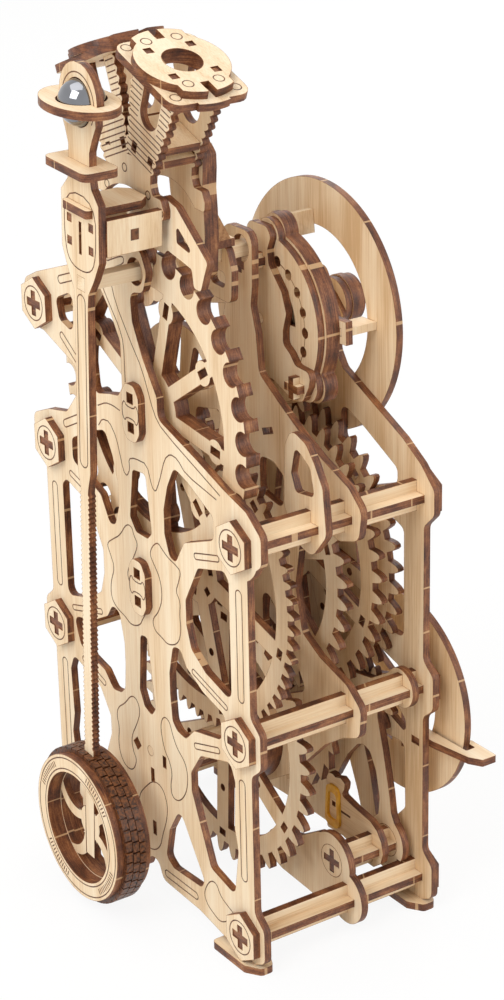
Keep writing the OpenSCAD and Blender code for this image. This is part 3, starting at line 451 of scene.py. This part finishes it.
# Blocks set round an axle: one node tree, used for tyre lugs, dial ticks and hatching
def makeBlockRing():
    tree = bpy.data.node_groups.new("blockRing", "GeometryNodeTree")
    sockets = tree.interface
    sockets.new_socket("Count", in_out="INPUT", socket_type="NodeSocketInt")
    for name in ("Radius", "Start", "Step", "Along", "Across", "Thickness", "Level"):
        sockets.new_socket(name, in_out="INPUT", socket_type="NodeSocketFloat")
    sockets.new_socket("Material", in_out="INPUT", socket_type="NodeSocketMaterial")
    sockets.new_socket("Geometry", in_out="OUTPUT", socket_type="NodeSocketGeometry")
    given = addNode(tree, "NodeGroupInput").outputs
    index = addNode(tree, "GeometryNodeInputIndex").outputs["Index"]
    angle = addNode(tree, "ShaderNodeMath", {}, {0: index, 1: given["Step"], 2: given["Start"]},
                    operation="MULTIPLY_ADD").outputs[0]
    across = addNode(tree, "ShaderNodeMath", {}, {0: angle}, operation="COSINE").outputs[0]
    upward = addNode(tree, "ShaderNodeMath", {}, {0: angle}, operation="SINE").outputs[0]
    reachX = addNode(tree, "ShaderNodeMath", {}, {0: across, 1: given["Radius"]}, operation="MULTIPLY")
    reachY = addNode(tree, "ShaderNodeMath", {}, {0: upward, 1: given["Radius"]}, operation="MULTIPLY")
    spot = addNode(tree, "ShaderNodeCombineXYZ", {},
                   {"X": reachX.outputs[0], "Y": reachY.outputs[0], "Z": given["Level"]})
    points = addNode(tree, "GeometryNodePoints", {}, {"Count": given["Count"], "Position": spot.outputs[0]})
    size = addNode(tree, "ShaderNodeCombineXYZ", {},
                   {"X": given["Along"], "Y": given["Across"], "Z": given["Thickness"]})
    block = addNode(tree, "GeometryNodeMeshCube", {}, {"Size": size.outputs[0]})
    turn = addNode(tree, "ShaderNodeCombineXYZ", {}, {"Z": angle})
    placed = addNode(tree, "GeometryNodeInstanceOnPoints", {}, {
        "Points": points.outputs[0], "Instance": block.outputs["Mesh"], "Rotation": turn.outputs[0]})
    real = addNode(tree, "GeometryNodeRealizeInstances", {}, {"Geometry": placed.outputs[0]})
    painted = addNode(tree, "GeometryNodeSetMaterial", {},
                      {"Geometry": real.outputs[0], "Material": given["Material"]})
    addNode(tree, "NodeGroupOutput", {}, {"Geometry": painted.outputs[0]})
    return tree


blockRing = makeBlockRing()


def blocksRound(values, material):
    holder = bpy.data.objects.new("blockHolder", bpy.data.meshes.new("blockHolder"))
    bpy.context.scene.collection.objects.link(holder)
    modifier = holder.modifiers.new("blocks", "NODES")
    modifier.node_group = blockRing
    for item in blockRing.interface.items_tree:
        if item.in_out == "INPUT":
            modifier[item.identifier] = material if item.name == "Material" else values[item.name]
    graph = bpy.context.evaluated_depsgraph_get()
    data = bpy.data.meshes.new_from_object(holder.evaluated_get(graph))
    bpy.data.objects.remove(holder)
    return data


# Car wheel: three tread layers in char, with lugs set off a little against each other and pale seams between
tyre = {
    "bobZ": 34.0, "middleDepth": -21.0, "spokesTo": 23.0, "layers": [-25.5, -22.5, -19.5],
    "base": 30.9, "top": 31.9, "lugs": 44, "lugWidth": 2.7, "fill": 0.86, "skew": 0.22,
    "seamWidth": 0.3, "seamLift": 0.05, "seamSteps": 120,
}
lying = Matrix.Rotation(math.radians(90), 4, "X")      # turns a ring of blocks to go round the Y axis


def ringPoints(centre, radius, steps=28, start=0.0, span=360.0):
    return [(centre[0] + radius * math.cos(math.radians(start + span * i / steps)),
             centre[1] + radius * math.sin(math.radians(start + span * i / steps))) for i in range(steps)]


def addSeam(mesh, depth):
    ring = ringPoints((0, tyre["bobZ"]), tyre["base"] + tyre["seamLift"], tyre["seamSteps"])
    half = tyre["seamWidth"] / 2
    rails = [[mesh.verts.new(hanging(x, edge, z)) for x, z in ring] for edge in (depth - half, depth + half)]
    for step in range(len(ring)):
        seam = mesh.faces.new((rails[0][step], rails[0][step - 1], rails[1][step - 1], rails[1][step]))
        seam.material_index = 1


def makeTread():
    mesh = cleanCopy("bob_tread")
    hub = hanging(0, tyre["middleDepth"], tyre["bobZ"])
    for face in mesh.faces:
        inWheel = (face.calc_center_median() - hub).xz.length < tyre["spokesTo"] * mm
        face.material_index = int(abs(face.normal.y) > facing) if inWheel else 2
    pitch = 2 * math.pi / tyre["lugs"]
    middle = (tyre["base"] + tyre["top"]) / 2
    for row, depth in enumerate(tyre["layers"]):
        blocks = blocksRound({
            "Count": tyre["lugs"], "Radius": middle * mm, "Start": pitch * tyre["skew"] * row, "Step": pitch,
            "Along": (tyre["top"] - tyre["base"]) * mm, "Across": middle * pitch * tyre["fill"] * mm,
            "Thickness": tyre["lugWidth"] * mm, "Level": 0.0}, treadChar)
        for polygon in blocks.polygons:
            polygon.material_index = 2
        centre = hanging(0, depth + sheet / mm / 2, tyre["bobZ"])
        blocks.transform(Matrix.Translation(centre) @ lying)
        mesh.from_mesh(blocks)
        bpy.data.meshes.remove(blocks)
    for depth in tyre["layers"][1:]:
        addSeam(mesh, depth)
    materials = [burnEdges["Y"], birchFaces["Z", 1], treadChar]
    piece = storePiece(mesh, "wheelTread", materials, bodyOf("bob_tread"))
    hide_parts("bob_tread")


makeTread()
say("tread cut")


# Polished ball held in the eye of the head
lampBall = {"radius": 8.6, "depth": -21.0, "height": 325.3}


def makeLampBall():
    mesh = bmesh.new()
    bmesh.ops.create_uvsphere(mesh, u_segments=64, v_segments=32, radius=lampBall["radius"] * mm)
    bmesh.ops.translate(mesh, verts=mesh.verts, vec=hanging(0, lampBall["depth"], lampBall["height"]))
    for face in mesh.faces:
        face.smooth = True
    piece = storePiece(mesh, "lampBall", [steel], bodyOf("lamp_ball"))
    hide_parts("lamp_ball")


makeLampBall()


# Ticks and hatching: thin blocks that stand a hair proud of a face
tickHeight = 0.06 * mm


def addBlocks(mesh, centre, values):
    blocks = blocksRound({"Level": 0.0, "Thickness": tickHeight, **values}, engraved)
    blocks.transform(Matrix.Translation(centre) @ lying)
    mesh.from_mesh(blocks)
    bpy.data.meshes.remove(blocks)


def addTicks(mesh, centre, rows):
    for count, radius, length, width in rows:
        addBlocks(mesh, centre, {
            "Count": count, "Radius": radius * mm, "Start": 0.0, "Step": 2 * math.pi / count,
            "Along": length * mm, "Across": width * mm})


# Engraved lines: thin brown ribbons lying on a board's face
lineWidth = 0.5
lift = 0.03
faceDepth = {
    "rear": 0, "rearWasher": -3, "front": 82, "frontWasher": 85, "dial": 85.3, "seconds": 91.3,
    "wallRear": 3.3, "wallFront": 23.7, "rod": -22.5, "tyreRear": -28.5, "tyreFront": -13.5,
}


def ribbon(mesh, points, place, closed=True, width=lineWidth):
    flat = [Vector(p) for p in points]
    count = len(flat)
    rails = []
    for i, p in enumerate(flat):
        before = flat[i - 1] if closed or i else p
        after = flat[(i + 1) % count] if closed or i < count - 1 else p
        run = (after - before).normalized()
        side = Vector((-run.y, run.x)) * width / 2
        rails.append([mesh.verts.new(place(*(p + side))), mesh.verts.new(place(*(p - side)))])
    for i in range(count if closed else count - 1):
        a, b = rails[i], rails[(i + 1) % count]
        mesh.faces.new((a[0], a[1], b[1], b[0]))


def pillPoints(a, b, half):
    run = (Vector(b) - Vector(a)).normalized()
    heading = math.degrees(math.atan2(run.y, run.x))
    return ringPoints(b, half, 10, heading - 90, 198) + ringPoints(a, half, 10, heading + 90, 198)


def smooth(points, rounds=2):
    for _ in range(rounds):
        points = [(p[0] * w + q[0] * (1 - w), p[1] * w + q[1] * (1 - w))
                  for p, q in zip(points, points[1:] + points[:1]) for w in (0.75, 0.25)]
    return points


def softLine(points):
    middle = [(p[0] * w + q[0] * (1 - w), p[1] * w + q[1] * (1 - w))
              for p, q in zip(points, points[1:]) for w in (0.8, 0.2)]
    return [points[0]] + middle + [points[-1]]


def flip(points):
    return [(-x, z) for x, z in points]


def storeLines(mesh, name, body):
    storePiece(mesh, name, [engraved], body)


# A place on a named face, lifted off it to the rear or to the front
def onRear(where, face):
    return lambda x, z: where(x, faceDepth[face] - lift, z)


def onFront(where, face):
    return lambda x, z: where(x, faceDepth[face] + lift, z)


# Rear plate: long pills on the columns and arms, loose cloud outlines, and the bearing covers' waisted bands
pillsBothSides = [
    ((-64.3, 113), (-64.3, 154), 1.9), ((-63.6, 38), (-63.6, 77), 1.9), ((-37, 159.5), (-51, 163.5), 1.2),
    ((-33, 80), (-48, 84.5), 1.2), ((-33, 111), (-54, 105), 1.1),
]
pillsOneSide = [
    ((-9, 13), (-29.5, 13.1), 1.5), ((52, 242.3), (37, 248), 1.5), ((52.7, 219.7), (38, 210), 1.4),
    ((53.4, 183.7), (37, 192), 1.5),
]
clouds = [
    [(11, 156), (7, 156), (6, 153), (3, 150), (7, 143), (12, 136), (10.5, 131.5), (5, 129), (-1, 129.5),
     (-2.4, 125), (1.6, 120), (4, 116), (10.4, 113.7), (15, 116), (20, 117), (24.5, 120), (24.4, 127),
     (21, 134), (23.7, 138.7), (26.3, 142.7), (21, 146.3), (16, 149.5)],
    [(-7, 153), (-11, 156), (-13.6, 154.3), (-18, 152), (-23, 151), (-26.5, 149.5), (-24.5, 144.4),
     (-22.4, 140), (-25.4, 137), (-24.5, 131), (-25.3, 125), (-23, 118.7), (-16, 115.4), (-11.3, 117),
     (-6.6, 118), (-5, 122), (-10, 127), (-13, 134), (-11.7, 141.6), (-7.6, 146), (-5, 149)],
    [(12.7, 82.8), (8.4, 82.5), (6.4, 78), (9, 72), (14, 64), (13, 58), (10.3, 55), (13.6, 49), (19, 48.5),
     (22.8, 52), (24, 57.7), (22.7, 64.4), (24.5, 69), (23, 73.4), (18, 76.8)],
    [(-10.8, 83.4), (-14.7, 82.8), (-16.6, 77.7), (-19.6, 73), (-25, 69.5), (-26.7, 63.5), (-25, 56),
     (-20, 50.2), (-15, 49.7), (-13.8, 54.3), (-15.5, 60.3), (-13.6, 65.4), (-10.5, 68.3), (-8.6, 74.3),
     (-8.3, 79.3)],
    [(4.6, 46), (-1.5, 51.4), (-8, 51), (-11.2, 44.6), (-10, 37), (-6.6, 29.3), (-4.8, 23.2), (0.6, 18.8),
     (8, 19), (11, 30), (10, 40)],
    [(-39.7, 25), (-44.3, 26), (-46.8, 21.6), (-51.5, 19.6), (-56.5, 18), (-54, 14.8), (-47, 9.6),
     (-41.7, 11.2), (-37.2, 13.4), (-35.2, 17.6)],
]
openLines = [
    [(23.4, 250.6), (16.5, 242), (10.3, 234.7), (7.6, 229.2), (7.5, 213.9)],
    [(16.4, 258.5), (7.5, 262.4), (5, 262.5), (5.5, 260), (13.6, 256.3), (15.8, 253.6), (12.2, 243.7),
     (3.4, 232), (-4.6, 222.5), (-11.8, 207), (-17, 202.6), (-54, 188.9)],
    [(28.3, 198.6), (22.3, 201.5), (17.2, 201.9), (12.2, 201.3)],
    [(28.3, 190.6), (25.5, 194), (20.3, 194.5), (15.6, 189.5), (11.4, 177.2), (9, 176.1), (6.9, 179.3),
     (7.2, 183.6), (3.3, 185.1), (-5.4, 185.4), (-8.5, 177.2), (-10.9, 176.2), (-13.6, 181),
     (-17.9, 191.5), (-21.7, 194.6), (-26.4, 194.3), (-32, 190), (-51.6, 186.6)],
]
coverBand = [(5.2, 2.6), (5.6, 0), (5.2, -2.6), (3.8, -3.9), (2.6, -2.2), (-2.6, -2.2), (-3.8, -3.9),
             (-5.2, -2.6), (-5.6, 0), (-5.2, 2.6), (-3.8, 3.9), (-2.6, 2.2), (2.6, 2.2), (3.8, 3.9)]


washerRing = 6.8
frontPill = {"from": 114, "to": 157, "half": 1.9}
dial = {"outer": 47.4, "inner": 33.0, "steps": 120,
        "ticks": ((60, 45.2, 2.6, 0.4), (12, 43.8, 5.4, 0.9))}      # each row: count, radius, length, width


def engraveFrame():
    mesh = bmesh.new()
    rear = onRear(standing, "rear")
    for a, b, half in pillsBothSides + pillsOneSide:
        ribbon(mesh, pillPoints(a, b, half), rear)
    for a, b, half in pillsBothSides:
        ribbon(mesh, flip(pillPoints(a, b, half)), rear)
    for cloud in clouds:
        ribbon(mesh, smooth(cloud), rear)
    for line in openLines:
        ribbon(mesh, softLine(line), rear, closed=False)
    washers = [(x, z) for x in (-columnX, columnX) for z in barHeights]
    for centre in washers + [topBar]:
        ribbon(mesh, ringPoints(centre, washerRing), onRear(standing, "rearWasher"))
    for centre in washers:
        ribbon(mesh, ringPoints(centre, washerRing), onFront(standing, "frontWasher"))
    for axle in ("second", "escape"):
        band = smooth([(x, axles[axle] + z) for x, z in coverBand], 1)
        ribbon(mesh, band, onRear(standing, "rearWasher"))
    for x in (-columnX, columnX):
        pill = pillPoints((x, frontPill["from"]), (x, frontPill["to"]), frontPill["half"])
        ribbon(mesh, pill, onFront(standing, "front"))
    addTicks(mesh, standing(0, faceDepth["dial"], axles["dial"]), dial["ticks"])
    for radius in (dial["outer"], dial["inner"]):
        ribbon(mesh, ringPoints((0, axles["dial"]), radius, dial["steps"]), onFront(standing, "dial"))
    storeLines(mesh, "frameEngraving", bodyOf("rear_plate"))


# Seconds dial: a tick for each second, longer at every fifth
secondsDial = {"reach": 67.68, "heading": math.radians(232), "ring": 25.4, "steps": 90,
               "ticks": ((60, 38.8, 2.6, 0.35), (12, 37.3, 5.6, 0.8))}


def engraveSeconds():
    mesh = bmesh.new()
    x = secondsDial["reach"] * math.cos(secondsDial["heading"])
    z = axles["second"] + secondsDial["reach"] * math.sin(secondsDial["heading"])
    addTicks(mesh, standing(x, faceDepth["seconds"], z), secondsDial["ticks"])
    ring = ringPoints((x, z), secondsDial["ring"], secondsDial["steps"])
    ribbon(mesh, ring, onFront(standing, "seconds"))
    storeLines(mesh, "secondsEngraving", bodyOf("seconds_dial"))


# Engine: stripes across the cylinder walls, rings on the head boards and round the bolts below
engine = {
    "feet": {"left": (16.4, 296.9), "right": (2.0, 298.3)}, "middleDepth": 13.5,
    "footHalf": 9.5, "kneeHalf": 12.0, "topHalf": 14.0, "kneeHeight": 14.0, "flare": 0.2,
    "stripes": 16, "firstStripe": 1.2, "stripePitch": 2.15, "margin": 1.3,
    "windowFrom": 15.5, "window": (-6.9, 5.7),
    "headRings": ((14, 6.3, 41), (16.5, 12.4, 38)), "headRing": 2.0, "headLine": 0.45,
    "bolts": ((11.6, 294.3), (-3.9, 288.2), (-12.2, 283.9), (23.7, 284.9)), "boltRing": 1.5,
}


def onCylinder(side):
    footX, footZ = engine["feet"][side]
    c, s = math.cos(math.radians(lean[side])), math.sin(math.radians(lean[side]))
    return lambda x, h: (footX + x * c + h * s, footZ - x * s + h * c)


def onHead(spot, height):
    def place(u, v):
        x, z = spot(u, height + lift)
        return hanging(x, engine["middleDepth"] + v, z)
    return place


# Half the width of a cylinder's wall at a height over its foot: it widens quickly, then slowly
def wallHalf(height):
    over = height - engine["kneeHeight"]
    if over < 0:
        return engine["footHalf"] + (engine["kneeHalf"] - engine["footHalf"]) * height / engine["kneeHeight"]
    return min(engine["topHalf"], engine["kneeHalf"] + engine["flare"] * over)


def engraveEngine(mesh):
    for side in engine["feet"]:
        spot = onCylinder(side)
        for wall in (onRear(hanging, "wallRear"), onFront(hanging, "wallFront")):
            for stripe in range(engine["stripes"]):
                h = engine["firstStripe"] + engine["stripePitch"] * stripe
                half = wallHalf(h) - engine["margin"]
                left, right = engine["window"]
                spans = [(-half, left), (right, half)] if h > engine["windowFrom"] else [(-half, half)]
                for a, b in spans:
                    ribbon(mesh, [spot(a, h), spot(b, h)], wall, closed=False)
        for x, v, h in engine["headRings"]:
            for centre in ((-x, -v), (-x, v), (x, -v), (x, v)):
                ring = ringPoints(centre, engine["headRing"], 20)
                ribbon(mesh, ring, onHead(spot, h), width=engine["headLine"])
    for centre in engine["bolts"]:
        ribbon(mesh, ringPoints(centre, engine["boltRing"], 18), onRear(hanging, "wallRear"))


# Pendulum: pills and rings on the rod and its head, a dark tab end on each side, and hatching on the tyre
head = {
    "rodPill": ((0, 190), (0, 252), 2.7), "eyeRing": 10.6,
    "badge": [(-10.6, 270.5), (-10.6, 292), (10.6, 292), (10.6, 270.5), (6, 264), (-6, 264)],
    "tabX": 13.2, "tabDepth": -8.1, "tabZ": 278.6, "tabHalfDepth": 1.7, "tabHalfHeight": 2.1,
}
sidewall = {
    "rings": (28.4, 24.0), "hatchStarts": (20, 110, 200, 290), "hatchCount": 12, "hatchRadius": 26.3,
    "hatchStep": 3.2, "hatchLength": 2.3, "hatchWidth": 0.5,
}


def addTabEnd(mesh, side):
    u, v = head["tabHalfDepth"], head["tabHalfHeight"]
    corners = [hanging(side * (head["tabX"] + lift), head["tabDepth"] + a, head["tabZ"] + b)
               for a, b in ((-u, -v), (u, -v), (u, v), (-u, v))]
    mesh.faces.new([mesh.verts.new(corner) for corner in corners])


def engraveTyre(mesh, place):
    for radius in sidewall["rings"]:
        ribbon(mesh, ringPoints((0, tyre["bobZ"]), radius, 90), place)
    for start in sidewall["hatchStarts"]:
        addBlocks(mesh, place(0, tyre["bobZ"]), {
            "Count": sidewall["hatchCount"], "Radius": sidewall["hatchRadius"] * mm,
            "Start": math.radians(start), "Step": math.radians(sidewall["hatchStep"]),
            "Along": sidewall["hatchLength"] * mm, "Across": sidewall["hatchWidth"] * mm})


def engravePendulum():
    mesh = bmesh.new()
    for side in (-1, 1):
        addTabEnd(mesh, side)
    rod = onRear(hanging, "rod")
    ribbon(mesh, pillPoints(*head["rodPill"]), rod)
    ribbon(mesh, smooth(head["badge"]), rod)
    ribbon(mesh, ringPoints((0, lampBall["height"]), head["eyeRing"], 44, -40, 260), rod, closed=False)
    engraveTyre(mesh, onRear(hanging, "tyreRear"))
    engraveTyre(mesh, onFront(hanging, "tyreFront"))
    engraveEngine(mesh)
    storeLines(mesh, "pendulumEngraving", bodyOf("pendulum_rod"))


engraveFrame()
engraveSeconds()
engravePendulum()
say("lines engraved")


# Floor, lamps and camera
studio = {
    "floorSize": 6.0, "floorColour": "#F4F3F1", "worldColour": "#FFFFFF", "worldStrength": 0.5,
    "whiteness": 0.9, "aim": (0, 0, 0.17),
}
lamps = {
    "keyLamp": {"power": 20.0, "place": (-0.35, 1.35, 1.5), "size": 1.1},
    "fillLamp": {"power": 11.0, "place": (-1.7, -0.9, 0.9), "size": 1.4},
    "topLamp": {"power": 11.5, "place": (0.3, 0.4, 2.0), "size": 1.5},
    "frontLamp": {"power": 11.0, "place": (1.0, -1.5, 0.9), "size": 1.2},
}


# One where a ray comes straight from the camera, or by way of a mirror or glass: there the ground shows white
def seenDirectly(tree):
    rays = addNode(tree, "ShaderNodeLightPath").outputs
    first = addNode(tree, "ShaderNodeMath", {}, {0: rays["Is Camera Ray"], 1: rays["Is Glossy Ray"]},
                    operation="MAXIMUM")
    both = addNode(tree, "ShaderNodeMath", {}, {0: first.outputs[0], 1: rays["Is Transmission Ray"]},
                   operation="MAXIMUM")
    return both.outputs[0]


world = bpy.data.worlds.new("softStudio")
bpy.context.scene.world = world
world.use_nodes = True
worldTree = world.node_tree
worldTree.nodes.clear()
dim = addNode(worldTree, "ShaderNodeBackground",
              {"Color": linear(studio["worldColour"]), "Strength": studio["worldStrength"]})
bright = addNode(worldTree, "ShaderNodeBackground", {"Color": linear(studio["worldColour"]), "Strength": 1.0})
mixed = addNode(worldTree, "ShaderNodeMixShader", {},
                {0: seenDirectly(worldTree), 1: dim.outputs[0], 2: bright.outputs[0]})
addNode(worldTree, "ShaderNodeOutputWorld", links={"Surface": mixed.outputs[0]})

floorMesh = bpy.data.meshes.new("floor")
half = studio["floorSize"] / 2
corners = [(-half, -half, 0), (half, -half, 0), (half, half, 0), (-half, half, 0)]
floorMesh.from_pydata(corners, [], [(0, 1, 2, 3)])
floor = bpy.data.objects.new("floor", floorMesh)
bpy.context.scene.collection.objects.link(floor)
floorMaterial, floorTree, floorShader = newMaterial("paleFloor")
floorShader.inputs["Base Color"].default_value = linear(studio["floorColour"])
floorShader.inputs["Roughness"].default_value = 0.9
glow = addNode(floorTree, "ShaderNodeEmission", {"Color": linear("#FFFFFF"), "Strength": 1.0})
share = addNode(floorTree, "ShaderNodeMath", {1: studio["whiteness"]}, {0: seenDirectly(floorTree)},
                operation="MULTIPLY")
floorMix = addNode(floorTree, "ShaderNodeMixShader", {},
                   {0: share.outputs[0], 1: floorShader.outputs["BSDF"], 2: glow.outputs[0]})
for node in floorTree.nodes:
    if node.type == "OUTPUT_MATERIAL":
        floorTree.links.new(floorMix.outputs[0], node.inputs["Surface"])
floorMesh.materials.append(floorMaterial)

for name, lamp in lamps.items():
    light = bpy.data.lights.new(name, "AREA")
    light.energy = lamp["power"]
    light.size = lamp["size"]
    fitting = bpy.data.objects.new(name, light)
    fitting.location = lamp["place"]
    aim = Vector(studio["aim"]) - Vector(lamp["place"])
    fitting.rotation_euler = aim.to_track_quat("-Z", "Y").to_euler()
    bpy.context.scene.collection.objects.link(fitting)

view = {
    "place": (-0.7569, 0.5025, 0.5395), "heading": -33.351, "drop": 22.415, "roll": -1.527,
    "lens": 92.73, "sensor": 36, "shiftX": 0.0296, "shiftY": -0.0139, "nearest": 0.05, "farthest": 20,
}
cameraData = bpy.data.cameras.new("camera")
cameraData.lens = view["lens"]
cameraData.sensor_width = view["sensor"]
cameraData.shift_x = view["shiftX"]
cameraData.shift_y = view["shiftY"]
camera = bpy.data.objects.new("camera", cameraData)
bpy.context.scene.collection.objects.link(camera)
heading, drop, roll = (math.radians(view[k]) for k in ("heading", "drop", "roll"))
looking = Vector((math.cos(heading) * math.cos(drop), math.sin(heading) * math.cos(drop), -math.sin(drop)))
turn = looking.to_track_quat("-Z", "Y").to_matrix() @ Matrix.Rotation(roll, 3, "Z")
camera.matrix_world = Matrix.Translation(view["place"]) @ turn.to_4x4()
cameraData.clip_start = view["nearest"]
cameraData.clip_end = view["farthest"]
bpy.context.scene.camera = camera
bpy.context.scene.view_settings.view_transform = "Standard"
say("studio ready")
